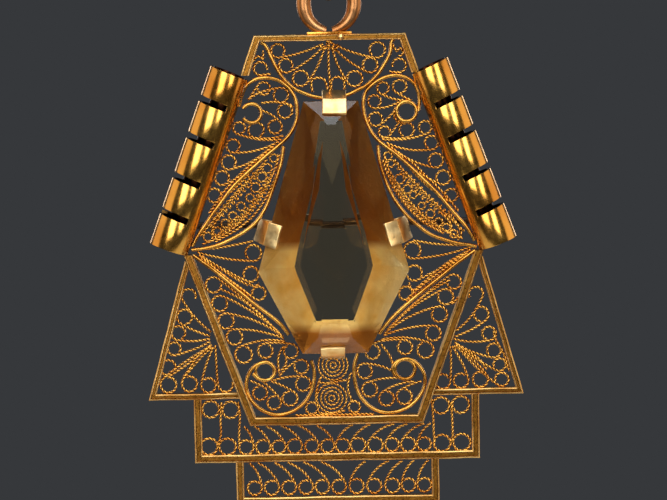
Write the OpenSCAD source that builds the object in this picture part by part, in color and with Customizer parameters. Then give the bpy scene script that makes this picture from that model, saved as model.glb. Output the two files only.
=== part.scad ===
// Filigree brooch-pendant with a coffin-shaped step-cut stone, two slotted barrels, a bail and a pin.
// The brooch stands upright as worn: +Z up, its front faces -Y.
// The pin stem's axis runs through the origin.
// Outlines are drawn from the waist, the widest line of the plate, and from the plate's own middle.

/* [Plate] */
// Half width of the plate at its waist
waist_w = 16.1; // [15.8:0.1:16.3]
// Half width of the plate's top edge
top_w = 8.05; // [7.8:0.05:8.3]
// Half width of the plate's bottom edge
bottom_w = 9.3; // [9:0.1:9.6]
// Height of the top edge over the waist
top_rise = 23.1; // [22.6:0.1:23.4]
// Drop of the bottom edge under the waist
bottom_drop = 18.7; // [18.4:0.1:19]
// Width of the top strip's face
top_strip = 0.6; // [0.5:0.05:0.7]
// Width of the side and bottom strips' faces
plate_strip = 0.85; // [0.7:0.05:0.95]
// Depth of the plate's strips, front to back
plate_depth = 1.5; // [1.3:0.1:1.7]
// Height that the edge rib stands over a strip's face
rib_rise = 0.2; // [0.1:0.05:0.3]
// Width of the edge rib
rib_width = 0.3; // [0.2:0.05:0.4]

/* [Wings and tiers] */
// Half width over the wings' lowest corners
wing_w = 20.1; // [19.8:0.1:20.4]
// Drop of the wings' bottom edge under the waist
wing_drop = 15.8; // [15.6:0.1:16]
// Width of the wing strips
wing_strip = 0.55; // [0.45:0.05:0.65]
// Half width of the upper tier
upper_tier_w = 15.3; // [15:0.1:15.6]
// Drop of the upper tier's bottom edge under the waist
upper_tier_drop = 22.7; // [22.5:0.1:23]
// Half width of the lower tier
lower_tier_w = 10.9; // [10.6:0.1:11.2]
// Drop of the lower tier's bottom edge under the waist
lower_tier_drop = 27.4; // [27.2:0.1:27.8]
// Depth of the wings and tiers, front to back
wing_depth = 1.15; // [1:0.05:1.2]

/* [Barrels] */
// Radius of a barrel
barrel_r = 2.125; // [2.05:0.025:2.15]
// Wall of a barrel
barrel_wall = 0.3; // [0.25:0.05:0.4]
// Length of a barrel
barrel_length = 20; // [19.6:0.1:20.2]
// Lean of a barrel from upright, in degrees
barrel_lean = 20.15; // [20:0.05:20.3]
// Distance of a barrel's middle from the centre line
barrel_x = 14.15; // [14.1:0.05:14.3]
// Height of a barrel's middle over the waist
barrel_z = 9.9; // [9.8:0.05:10]
// Distance between two saw cuts
slot_pitch = 4.2; // [4.1:0.05:4.25]
// Width of a saw cut
slot_width = 0.7; // [0.5:0.05:0.8]
// Turn of the cuts towards the front, in degrees
slot_turn = 28; // [20:1:35]
// Slant of a saw cut, in degrees
slot_slant = 4; // [0:1:6]

/* [Stone] */
// Thickness of the stone's girdle
girdle = 0.35; // [0.3:0.05:0.45]
// Height of the table over the girdle
crown_rise = 1.9; // [1.7:0.1:2]
// Depth of the pavilion under the girdle
pavilion_depth = 2.1; // [1.9:0.1:2.3]
// Width of a prong
prong_width = 2.8; // [2.5:0.1:3]
// Thickness of a prong
prong_wall = 0.38; // [0.3:0.02:0.45]

/* [Ring and bail] */
// Outer radius of the suspension ring
ring_outer = 3.45; // [3.4:0.05:3.5]
// Wire radius of the suspension ring
ring_wire = 0.775; // [0.76:0.005:0.785]
// Wire radius of the bail
bail_wire = 0.8; // [0.79:0.005:0.805]
// Radius of the bail's wire circle
bail_radius = 3; // [2.9:0.05:3.2]

/* [Pin and catch] */
// Height of the pin over the waist
pin_height = 2.4; // [2.3:0.05:2.6]
// Distance of the pin's axis behind the plate's middle
pin_back = 4.6; // [4.5:0.05:4.8]
// Radius of the pin's stem
stem_r = 0.4; // [0.35:0.01:0.42]
// Radius of the rivet that the pin turns on
rivet_r = 0.4; // [0.35:0.01:0.45]
// Running clearance round the rivet and the lock
running_gap = 0.04; // [0.02:0.01:0.08]
// Half width of the catch's mouth
mouth = 0.46; // [0.44:0.01:0.5]

/* [Wire] */
// Width of the twisted filigree wire
fine = 0.32; // [0.28:0.01:0.36]
// Depth of the filigree, front to back
fine_depth = 0.36; // [0.3:0.02:0.4]
// Width of the plain bent wire
bold = 0.42; // [0.36:0.02:0.48]
// Depth of the plain bent wire, front to back
bold_depth = 0.75; // [0.6:0.05:0.9]

/* [Hidden] */
$fn = 48;
gold = "#c8902e";
pale_gold = "#e8c070";
rose_gold = "#d09a60";
plate_front = -0.9;                          // the strips' faces; the edge rib stands in front of them
plate_back = plate_front + plate_depth;
wing_front = plate_back - wing_depth;
fine_front = -0.5;
wing_fine_front = -0.25;
bold_front = -0.75;
girdle_y = -1.6;                             // the girdle's front edge
stone_eps = 0.01;
crown_step = 0.68;                           // the crown's step, as a share of its height
crown_step_y = girdle_y - crown_rise * crown_step;
keel_y = girdle_y + girdle + pavilion_depth;
plate = [[-top_w, top_rise], [top_w, top_rise], [waist_w, 0], [bottom_w, -bottom_drop],
    [-bottom_w, -bottom_drop], [-waist_w, 0]];
plate_widths = [top_strip, plate_strip, plate_strip, plate_strip, plate_strip, plate_strip];
leg_end = 18.9;                              // the plate's upper legs end here, on the barrels
wing = [[14.96, 2.6], [wing_w, -wing_drop], [9.2, -wing_drop]];
wing_top = -0.9;
stone = [[-2.9, 16.05], [2.9, 16.05], [8.05, -2.1], [3.5, -10.95], [-3.5, -10.95], [-8.05, -2.1]];
step = [[-1.95, 14.6], [1.95, 14.6], [5.05, -1.85], [2.35, -9.1], [-2.35, -9.1], [-5.05, -1.85]];
table = [[-1.07, 13.7], [1.07, 13.7], [3.3, -1.6], [1.45, -7.5], [-1.45, -7.5], [-3.3, -1.6]];
open_back_side = [[0.7, 13.8], [1.4, 6.6], [2.9, 1.8], [3.7, -1.7], [1.6, -7.3]];
side_prong_turn = 15.85;                     // square to the stone's long sides
ring_z = top_rise + 3.3;
ring_y = (plate_front + plate_back) / 2;
ring_top = ring_z + ring_outer - ring_wire;  // the middle of the suspension ring's top wire
bail_drop = ring_wire + 0.04 + bail_wire;    // from there down to the middle of the bail's lowest wire
barrel_y = -0.6;
saddle_drop = (barrel_z - pin_height) / cos(barrel_lean);       // from a barrel's middle to the pin
pin_x = barrel_x + (barrel_z - pin_height) * tan(barrel_lean);  // the hinge and the catch stand here
taper_start = pin_x - 2.25;
pin_end = pin_x + 2.15;
lock_r = 1.1;
saddle_wall = 0.45;
saddle_length = 3.2;
leaf_band = 0.75;                            // the leaf's outer wires run this far from its middle line

// Geometry helpers
function unit(v) = v / norm(v);
function wedge(a, b) = a[0] * b[1] - a[1] * b[0];
function meet(p, u, q, v) = p + u * wedge(q - p, v) / wedge(u, v);
function pick(d, i) = is_list(d) ? d[i] : d;
// A clockwise convex outline with each edge moved inwards by d, or by its own entry of d
function inset(p, d) = let (n = len(p)) [for (i = [0 : n - 1])
    let (h = (i + n - 1) % n, u = unit(p[i] - p[h]), v = unit(p[(i + 1) % n] - p[i]))
    meet(p[i] + pick(d, h) * [u[1], -u[0]], u, p[i] + pick(d, i) * [v[1], -v[0]], v)];
function spline_at(a, b, c, d, t) =
    0.5 * (2 * b + (c - a) * t + (2 * a - 5 * b + 4 * c - d) * t * t + (3 * b - a - 3 * c + d) * t * t * t);
// A smooth line through the points, with n pieces between two of them
function smooth(p, n = 5) = let (m = len(p)) concat([for (i = [0 : m - 2], k = [0 : n - 1])
    spline_at(p[max(i - 1, 0)], p[i], p[i + 1], p[min(i + 2, m - 1)], k / n)], [p[m - 1]]);
// A bowed line from a to b whose middle swings h to its left
function bow(a, b, h, n = 8) = let (m = (a + b) / 2 + h * 2 * [-unit(b - a)[1], unit(b - a)[0]])
    [for (k = [0 : n]) let (t = k / n) (1 - t) * (1 - t) * a + 2 * t * (1 - t) * m + t * t * b];
function along(p, i) = unit(p[min(i + 1, len(p) - 1)] - p[max(i - 1, 0)]);
function beside(p, d) = [for (i = [0 : len(p) - 1]) p[i] + d * [-along(p, i)[1], along(p, i)[0]]];
function backwards(p) = [for (i = [len(p) - 1 : -1 : 0]) p[i]];
function mirror_x(p) = [for (q = p) [-q[0], q[1]]];
function between(a, b, t) = a + (b - a) * t;
function polar(c, r, a) = c + r * [cos(a), sin(a)];

// Places what is drawn from the waist and the plate's middle in the pin's frame
module from_waist() translate([0, -pin_back, -pin_height]) children();
// Stands a flat drawing up as a sheet from y0 to y1
module sheet(y0, y1) translate([0, y1, 0]) rotate([90, 0, 0]) linear_extrude(y1 - y0) children();
module mirrored(side) mirror([side < 0 ? 1 : 0, 0, 0]) children();
// What is drawn inside lies between the depths y and y + d
module layer(y, d) {
    $y0 = y;
    $y1 = y + d;
    children();
}
module wire(p, w = fine) sheet($y0, $y1) polygon(concat(beside(p, w / 2), backwards(beside(p, -w / 2))));
module curl(c, r, w = fine) sheet($y0, $y1) translate(c) difference() {
    circle(r);
    circle(r - w);
}
// A bowed stem from the focus to each end, with a curl of radius r on it
module fan(focus, ends, r, h) for (e = ends) {
    wire(bow(focus, e - unit(e - focus) * (r - fine / 2), h));
    curl(e, r);
}
module edge_frame(p, widths, front, back, rib) {
    sheet(front, back) difference() {
        polygon(p);
        polygon(inset(p, widths));
    }
    sheet(front - rib_rise, front) difference() {
        polygon(p);
        polygon(inset(p, rib));
    }
}
module half_space(z0, z1) translate([-30, -10, z0]) cube([60, 20, z1 - z0]);

// Frames: the strips that carry the filigree
module frame_top() color(gold) from_waist() intersection() {
    edge_frame(plate, plate_widths, plate_front, plate_back, rib_width);
    half_space(leg_end, 30);
}
module frame_lower() color(gold) from_waist() intersection() {
    edge_frame(plate, plate_widths, plate_front, plate_back, rib_width);
    half_space(-30, -0.2);
}
module wing_frame(side) color(gold) from_waist() mirrored(side) difference() {
    edge_frame(wing, wing_strip, wing_front, plate_back, rib_width * 0.7);
    sheet(-10, 10) polygon([[0, 0], plate[2], plate[3], [0, -bottom_drop]]);
    half_space(wing_top, 30);
}
module wing_frame_left() wing_frame(-1);
module wing_frame_right() wing_frame(1);
// A tier is a box of three strips, open at the top where it hangs from the strip above
module tier_frame(half, top, bottom) from_waist() intersection() {
    edge_frame([[-half, top + 5], [half, top + 5], [half, bottom], [-half, bottom]],
        plate_strip, wing_front, plate_back, rib_width);
    half_space(bottom - 1, top);
}
module tier_frame_upper() color(gold) tier_frame(upper_tier_w, -wing_drop, -upper_tier_drop);
module tier_frame_lower() color(gold) tier_frame(lower_tier_w, -upper_tier_drop, -lower_tier_drop);

// Plain bent wires
module bold_layer() layer(bold_front, bold_depth) children();
arch_side = [[7.3, 22.5], [6.35, 20.5], [5.45, 19.1], [4.3, 17.75], [2.9, 16.75], [1.9, 16.4]];
module fan_arch() color(gold) from_waist()
    bold_layer() wire(smooth(concat(arch_side, [[0, 16.2]], mirror_x(backwards(arch_side))), 3), bold);
eye = [8.3, 14.8];
eye_r = 1.05;
scroll_path = [[9.3, 14.6], [9.25, 16.2], [8.5, 17.7], [7.6, 18.35], [6.6, 18.45], [5.5, 18.05], [4.55, 17.3],
    [3.9, 16.3], [3.75, 15.2], [3.95, 14.1], [4.5, 12.8], [5.4, 11.5], [6.9, 10.3], [8.85, 8.7],
    [10.9, 6.75], [12.5, 4.75], [14.5, 1.8], [15, 0.6]];
module scroll_wire(side) color(gold) from_waist() mirrored(side) bold_layer() {
    wire(smooth(scroll_path, 4), bold);
    curl(eye, eye_r + bold / 2, bold);
}
module scroll_wire_left() scroll_wire(-1);
module scroll_wire_right() scroll_wire(1);
leaf_path = [[5.35, 11.35], [5.3, 10.4], [5.5, 9.2], [6.15, 6.8], [7.2, 4.8], [8.1, 3.6], [9.7, 2.2],
    [11.7, 1.05], [13.3, 0.5], [15, 0.3]];
module leaf_wire(side) color(gold) from_waist() mirrored(side)
    bold_layer() wire(smooth(leaf_path, 4), bold);
module leaf_wire_left() leaf_wire(-1);
module leaf_wire_right() leaf_wire(1);
strut_path = [[15, -0.4], [12.4, -3.1], [9.6, -5.6], [7, -7.7], [4.7, -9.4]];
module strut(side) color(gold) from_waist() mirrored(side)
    bold_layer() wire(smooth(strut_path, 3), bold);
module strut_left() strut(-1);
module strut_right() strut(1);
volute_c = [5.7, -14.1];
volute_r = 3.65;
volute_eye = [7.5, -12.9];
volute_eye_r = 1.15;
volute_path = concat([[8.6, -12.5]], [for (a = [0 : -20 : -210]) polar(volute_c, volute_r, a)],
    [[3.7, -11.1]]);
module volute_wire(side) color(gold) from_waist() mirrored(side) bold_layer() {
    wire(smooth(volute_path, 2), bold);
    curl(volute_eye, volute_eye_r + bold / 2, bold);
}
module volute_wire_left() volute_wire(-1);
module volute_wire_right() volute_wire(1);

// Filigree panels: twisted wire, bent to stems, curls and waves
module panel() layer(fine_front, fine_depth) children();
fan_focus = [0, 22.2];
module fan_filigree() color(gold) from_waist() panel() {
    fan(fan_focus, [for (s = [-1, 1], e = [[5.75, 21.55], [4.9, 19.9], [3.4, 18.4], [1.25, 17.5]])
        [s * e[0], e[1]]], 0.85, 0);
    wire([fan_focus, [0, 16.4]]);
    sheet($y0, $y1) translate(fan_focus) circle(0.9);
}
module corner_filigree(side) color(gold) from_waist() mirrored(side) panel() {
    curl([7.35, 19.7], 0.9);
    curl([7.15, 21], 0.6);
    wire(bow([6.1, 19.4], [7, 19], 0.1));
}
module corner_filigree_left() corner_filigree(-1);
module corner_filigree_right() corner_filigree(1);
module scroll_filigree(side) color(gold) from_waist() mirrored(side) panel() {
    fan([7.35, 15.5], [[8.4, 17], [6.95, 17.45], [5.35, 17.2], [4.7, 15.75]], 0.78, 0.1);
    fan([7.2, 14.3], [[5.1, 14.1], [5.6, 12.7]], 0.8, -0.1);
    curl([7.1, 14.95], 0.75);
}
module scroll_filigree_left() scroll_filigree(-1);
module scroll_filigree_right() scroll_filigree(1);
barrel_edge = [[9.35, 13.3], [12.75, 5.4]];  // the middles of the curls along a barrel
module frond_filigree(side) color(gold) from_waist() mirrored(side) panel() {
    fan([5.6, 11.7], [for (k = [0 : 4]) between(barrel_edge[0], barrel_edge[1], k / 4)], 0.85, -0.25);
    wire(beside(smooth([for (k = [11 : 15]) scroll_path[k]], 3), 0.75));
}
module frond_filigree_left() frond_filigree(-1);
module frond_filigree_right() frond_filigree(1);
leaf_mid = smooth([[5.6, 10.6], [6.55, 8.6], [8.2, 6.2], [10.4, 4], [13.6, 1.4]], 4);
module leaf_filigree(side) color(gold) from_waist() mirrored(side) panel() {
    for (k = [1 : len(leaf_mid) - 2])
        curl(leaf_mid[k], 0.5);
    for (d = [-leaf_band, 0, leaf_band])
        wire(beside(leaf_mid, d));
    for (k = [0 : 2 : len(leaf_mid) - 1])
        wire([beside(leaf_mid, leaf_band + fine / 2)[k], beside(leaf_mid, -leaf_band - fine / 2)[k]]);
}
module leaf_filigree_left() leaf_filigree(-1);
module leaf_filigree_right() leaf_filigree(1);
module star_filigree(side) color(gold) from_waist() mirrored(side) panel() {
    fan([14.8, -0.15], [[9.4, -0.3], [9.1, -2], [8.4, -3.8]], 0.8, 0.2);
    for (d = [0.55, 1.05, 1.55])
        wire(concat([[14.8, -0.15]], beside(smooth(strut_path, 3), -d)));
}
module star_filigree_left() star_filigree(-1);
module star_filigree_right() star_filigree(1);
module side_filigree(side) color(gold) from_waist() mirrored(side) panel() {
    fan([5.6, -9.5], [for (k = [0 : 4]) between([12.9, -3.6], [9.75, -11.2], k / 4)], 0.95, -0.25);
    fan([5.6, -9.5], [[7.6, -10.7]], 0.7, 0.1);
}
module side_filigree_left() side_filigree(-1);
module side_filigree_right() side_filigree(1);
module volute_filigree(side) color(gold) from_waist() mirrored(side) panel() {
    fan([6.35, -13.2], [for (a = [110 : 33 : 308]) polar(volute_c, 2.6, a)], 0.82, 0.15);
}
module volute_filigree_left() volute_filigree(-1);
module volute_filigree_right() volute_filigree(1);
// Rings inside one another, joined by two crossed wires
module rosette(c, r) panel() {
    for (k = [0 : 2])
        curl(c, r - k * 0.55);
    for (a = [0, 90])
        wire([polar(c, r - 0.1, a), polar(c, r - 0.1, a + 180)]);
}
module rosette_upper() color(gold) from_waist() rosette([0, -12.4], 1.5);
module rosette_lower() color(gold) from_waist() rosette([0, -15.9], 1.6);
module base_curls() color(gold) from_waist() panel() {
    for (s = [-1, 1]) {
        curl([s * 2.2, -17.15], 0.7);
        curl([s * 1.05, -14.1], 0.6);
    }
    wire([[-2.2, -17.8], [2.2, -17.8]]);
    for (s = [-1, 1])
        wire([[s * 1.75, -17.7], [s * 1.7, -13.9]]);
    wire([[-1.8, -14], [1.8, -14]]);
}
module wing_panel() layer(wing_fine_front, fine_depth) children();
module wing_filigree(side) color(gold) from_waist() mirrored(side) wing_panel() {
    fan([12.9, -9.6], [for (k = [0 : 5]) between([15.6, -5], [18.3, -14.3], k / 5)], 0.92, 0.2);
    fan([12.9, -9.6], [for (k = [0 : 2]) [15.9 - k * 1.95, -14.4]], 0.92, 0.2);
}
module wing_filigree_left() wing_filigree(-1);
module wing_filigree_right() wing_filigree(1);
// A comb: a curl under each stem, and the stems bow away from the middle
module comb(n, pitch, z, r, top, lean, h) for (s = [-1, 1], k = [0 : n - 1]) {
    c = [s * pitch * (k + 0.5), z];
    curl(c, r);
    wire(bow([c[0] + s * lean, top], c + [0, r - fine / 2], s * h));
}
module tier_filigree_upper() color(gold) from_waist() wing_panel() {
    comb(6, 1.8, -21.1, 0.95, -18.4, 0.8, -0.25);
    for (s = [-1, 1], x = [11.7, 13.5]) {
        curl([s * x, -21.1], 0.95);
        curl([s * x, -17], 0.95);
        wire([[s * x, -17.9], [s * x, -20.3]]);
    }
}
module tier_filigree_lower() color(gold) from_waist() wing_panel() {
    comb(6, 1.68, -25.7, 0.9, -22.6, 0.5, -0.2);
}

// The stone and its mounting
module slab(p, y0, y1) sheet(y0, y1) polygon(p);
module stone_shape() from_waist() hull() {
    slab(stone, girdle_y, girdle_y + girdle);
    slab(step, crown_step_y, crown_step_y + stone_eps);
    slab(table, girdle_y - crown_rise, girdle_y - crown_rise + stone_eps);
    slab([[-0.05, 7], [0.05, 7], [0.05, -2.6], [-0.05, -2.6]], keel_y - stone_eps, keel_y);
}
module citrine() color("#b88a3a") stone_shape();
// The gallery is a collar whose inside slopes as the stone does, round an open back
module stone_gallery() color(gold) difference() {
    from_waist() sheet(girdle_y + girdle, plate_back) difference() {
        polygon(inset(stone, 0.1));
        polygon(concat(open_back_side, mirror_x(backwards(open_back_side))));
    }
    stone_shape();
}
// A prong is a bent strap: out from the gallery, up and inwards to the girdle, then over the crown,
// whose slope it follows. It is drawn pointing outwards along +X
module prong(w, slope, pad, foot) translate([0, 0, -w / 2]) linear_extrude(w) polygon([
    [-0.3, prong_wall], [-0.3, 0], [foot, 0], [0.05, girdle_y + 0.1], [-pad, girdle_y - slope * pad],
    [-pad + 0.05, girdle_y - slope * pad - prong_wall], [0.15, girdle_y - prong_wall],
    [foot + prong_wall, -0.1], [foot + prong_wall, prong_wall]]);
// Stands a prong at a point of the girdle, facing along the angle a in the plate's plane
module prong_at(p, a, slope, pad, foot) color(pale_gold) difference() {
    from_waist() translate([p[0], 0, p[1]]) rotate([0, -a, 0]) prong(prong_width, slope, pad, foot);
    stone_shape();
}
module prong_top() prong_at([0.38, 16.05], 90, 0.89, 1.4, 0.6);
module prong_bottom() prong_at([-0.3, -10.95], -90, 0.75, 0.85, 0.45);
module prong_left() prong_at([-6.89, 2], 180 - side_prong_turn, 0.46, 1.3, 0.8);
module prong_right() prong_at([6.89, 2], side_prong_turn, 0.46, 1.3, 0.8);

// Slotted barrels
module on_barrel(side) from_waist() mirrored(side) translate([barrel_x, barrel_y, barrel_z])
    rotate([0, -barrel_lean, 0]) children();
module barrel(side) color(pale_gold) on_barrel(side) difference() {
    cylinder(r = barrel_r, h = barrel_length, center = true);
    cylinder(r = barrel_r - barrel_wall, h = barrel_length + 1, center = true);
    for (k = [-1.5 : 1.5])
        translate([0, 0, k * slot_pitch]) rotate([0, -slot_slant, -slot_turn])
            translate([0, -barrel_r - 1, -slot_width / 2])
                cube([barrel_r + 2, 2 * barrel_r + 2, slot_width]);
}
module barrel_left() barrel(-1);
module barrel_right() barrel(1);

// Suspension ring: thick at the top, thinning to two ends that meet on the seat
module ring_arc(wire, from, sweep) rotate([90, 0, 0]) rotate([0, 0, from])
    rotate_extrude(angle = sweep) translate([ring_outer - wire, 0]) circle(wire);
module pendant_ring() color(rose_gold) from_waist() translate([0, ring_y, ring_z]) {
    ring_arc(ring_wire, -35, 250);
    ring_arc(0.62, -60, 26);
    ring_arc(0.45, -87, 28);
    ring_arc(0.62, 214, 26);
    ring_arc(0.45, 239, 28);
}
module ring_seat() color(gold) from_waist() translate([-2.4, ring_y - 0.6, top_rise])
    cube([4.8, 1.2, 0.3]);
module solder_bead() color(pale_gold) from_waist() translate([1.2, plate_front - 0.05, top_rise - 0.25])
    sphere(r = 0.38);
module bail() color(gold) from_waist() translate([0, ring_y, ring_top - bail_drop + bail_radius])
    rotate([0, 90, 0]) rotate_extrude() translate([bail_radius, 0]) circle(bail_wire);

// Pin, hinge and catch, drawn from the pin's axis
module saddle(side, half) intersection() {
    on_barrel(side) difference() {
        translate([0, 0, -saddle_drop])
            cylinder(r = barrel_r + saddle_wall, h = saddle_length, center = true);
        translate([0, 0, -saddle_drop]) cylinder(r = barrel_r, h = saddle_length + 1, center = true);
    }
    translate([side * pin_x - half, -3.6, -3]) cube([2 * half, 2.6, 6]);
}
module barrel_void(side) on_barrel(side) cylinder(r = barrel_r, h = 2 * barrel_length, center = true);
module hinge_bracket() color(gold) {
    saddle(-1, 1.5);
    difference() {
        translate([-pin_x - 1, -3.6, -1.15]) cube([2, 2.1, 2.3]);
        barrel_void(-1);
        translate([-pin_x - 2, -1.9, -0.56]) cube([4, 2, 1.12]);
    }
    for (s = [-1, 1])
        difference() {
            union() {
                translate([-pin_x, 0, s * 0.86]) cylinder(r = 1, h = 0.6, center = true);
                translate([-pin_x - 1, -1.9, s * 0.86 - 0.3]) cube([2, 1.9, 0.6]);
            }
            translate([-pin_x, 0, 0]) cylinder(r = rivet_r, h = 5, center = true);
        }
}
module hinge_rivet() color(pale_gold) translate([-pin_x, 0, 0]) {
    cylinder(r = rivet_r, h = 2.32, center = true);
    for (s = [0, 1])
        mirror([0, 0, s]) translate([0, 0, 1.16]) cylinder(r1 = 0.65, r2 = 0.45, h = 0.25);
}
module pin_stem() color(pale_gold) {
    difference() {
        union() {
            translate([-pin_x, 0, 0]) cylinder(r = 0.95, h = 1.04, center = true);
            translate([-pin_x, 0, 0]) rotate([0, 90, 0]) cylinder(r = stem_r, h = pin_x + taper_start);
        }
        translate([-pin_x, 0, 0]) cylinder(r = rivet_r + running_gap, h = 2, center = true);
    }
    translate([taper_start, 0, 0]) rotate([0, 90, 0])
        cylinder(r1 = stem_r, r2 = 0.06, h = pin_end - taper_start);
}
module mouth_cut(r) translate([0, -mouth, -5]) cube([r, 2 * mouth, 10]);
module catch_housing() color(gold) {
    saddle(1, 1.5);
    difference() {
        union() {
            translate([pin_x - 0.75, -3.6, -0.9]) cube([1.5, 3, 1.8]);
            translate([pin_x, 0, 0]) rotate([0, 90, 0]) cylinder(r = 1.55, h = 1.5, center = true);
        }
        barrel_void(1);
        translate([pin_x, 0, 0]) rotate([0, 90, 0])
            cylinder(r = lock_r + running_gap, h = 3, center = true);
        translate([pin_x - 2, 0, -mouth]) cube([4, 3, 2 * mouth]);
    }
}
// The lock is a slit spool that turns in the housing; its tab is pushed to close the mouth
module catch_lock() color(pale_gold) translate([pin_x, 0, 0]) difference() {
    union() {
        rotate([0, 90, 0]) cylinder(r = lock_r, h = 1.66, center = true);
        translate([0.83, 0, 0]) rotate([0, 90, 0]) cylinder(r = 1.35, h = 0.4);
        translate([-1.13, 0, 0]) rotate([0, 90, 0]) cylinder(r = 1.35, h = 0.3);
        translate([0.83, -0.45, -2.5]) cube([0.4, 0.9, 2]);
    }
    translate([-3, 0, 0]) rotate([0, 90, 0]) cylinder(r = 0.55, h = 6);
    translate([-3, 0, -mouth]) cube([6, 3, 2 * mouth]);
}

frame_top();
frame_lower();
wing_frame_left();
wing_frame_right();
tier_frame_upper();
tier_frame_lower();
fan_arch();
scroll_wire_left();
scroll_wire_right();
leaf_wire_left();
leaf_wire_right();
strut_left();
strut_right();
volute_wire_left();
volute_wire_right();
fan_filigree();
corner_filigree_left();
corner_filigree_right();
scroll_filigree_left();
scroll_filigree_right();
frond_filigree_left();
frond_filigree_right();
leaf_filigree_left();
leaf_filigree_right();
star_filigree_left();
star_filigree_right();
side_filigree_left();
side_filigree_right();
volute_filigree_left();
volute_filigree_right();
rosette_upper();
rosette_lower();
base_curls();
wing_filigree_left();
wing_filigree_right();
tier_filigree_upper();
tier_filigree_lower();
citrine();
stone_gallery();
prong_top();
prong_bottom();
prong_left();
prong_right();
barrel_left();
barrel_right();
pendant_ring();
ring_seat();
solder_bead();
bail();
hinge_bracket();
hinge_rivet();
pin_stem();
catch_housing();
catch_lock();
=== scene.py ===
import math

import bmesh
import bpy
from mathutils import Matrix, Vector, noise


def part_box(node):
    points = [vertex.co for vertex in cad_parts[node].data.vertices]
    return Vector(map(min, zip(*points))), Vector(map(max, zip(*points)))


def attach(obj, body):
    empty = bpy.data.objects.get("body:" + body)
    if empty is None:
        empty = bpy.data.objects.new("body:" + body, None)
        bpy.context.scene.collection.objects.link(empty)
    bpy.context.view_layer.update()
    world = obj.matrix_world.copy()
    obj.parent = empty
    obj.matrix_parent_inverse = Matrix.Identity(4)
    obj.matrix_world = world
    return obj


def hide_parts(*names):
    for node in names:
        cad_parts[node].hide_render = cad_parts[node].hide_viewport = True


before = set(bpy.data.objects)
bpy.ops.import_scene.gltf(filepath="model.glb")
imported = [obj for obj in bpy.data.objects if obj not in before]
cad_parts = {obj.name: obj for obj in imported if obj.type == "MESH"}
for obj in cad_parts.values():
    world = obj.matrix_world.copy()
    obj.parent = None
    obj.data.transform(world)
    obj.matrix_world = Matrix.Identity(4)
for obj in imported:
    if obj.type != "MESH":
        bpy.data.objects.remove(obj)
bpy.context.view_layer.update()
mm = 0.001
noise.seed_set(1)  # a fixed seed, so the handmade unevenness is the same on every run

# Pieces are drawn in millimetres from the plate's waist: x to the right, y up, z towards the viewer.
# toFrame stands such a drawing up in the frame, where the pin's axis is the origin.
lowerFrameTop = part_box("frame_lower")[1]
waist = Vector((0, lowerFrameTop.y - 0.6 * mm, lowerFrameTop.z + 0.2 * mm))
toFrame = Matrix.Translation(waist) @ Matrix.Rotation(math.radians(90), 4, "X") @ Matrix.Diagonal((mm, mm, mm, 1))


def linear(hexColour, alpha=1.0):
    parts = [int(hexColour[i : i + 2], 16) / 255 for i in (1, 3, 5)]
    return tuple(c / 12.92 if c <= 0.04045 else ((c + 0.055) / 1.055) ** 2.4 for c in parts) + (alpha,)


def addNode(tree, kind, inputs=None, **settings):
    made = tree.nodes.new(kind)
    for key, value in settings.items():
        setattr(made, key, value)
    for key, value in (inputs or {}).items():
        if isinstance(value, bpy.types.NodeSocket):
            tree.links.new(value, made.inputs[key])
        else:
            made.inputs[key].default_value = value
    return made


def startMaterial(name):
    material = bpy.data.materials.new(name)
    material.use_nodes = True
    material.node_tree.nodes.clear()
    return material, material.node_tree


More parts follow.
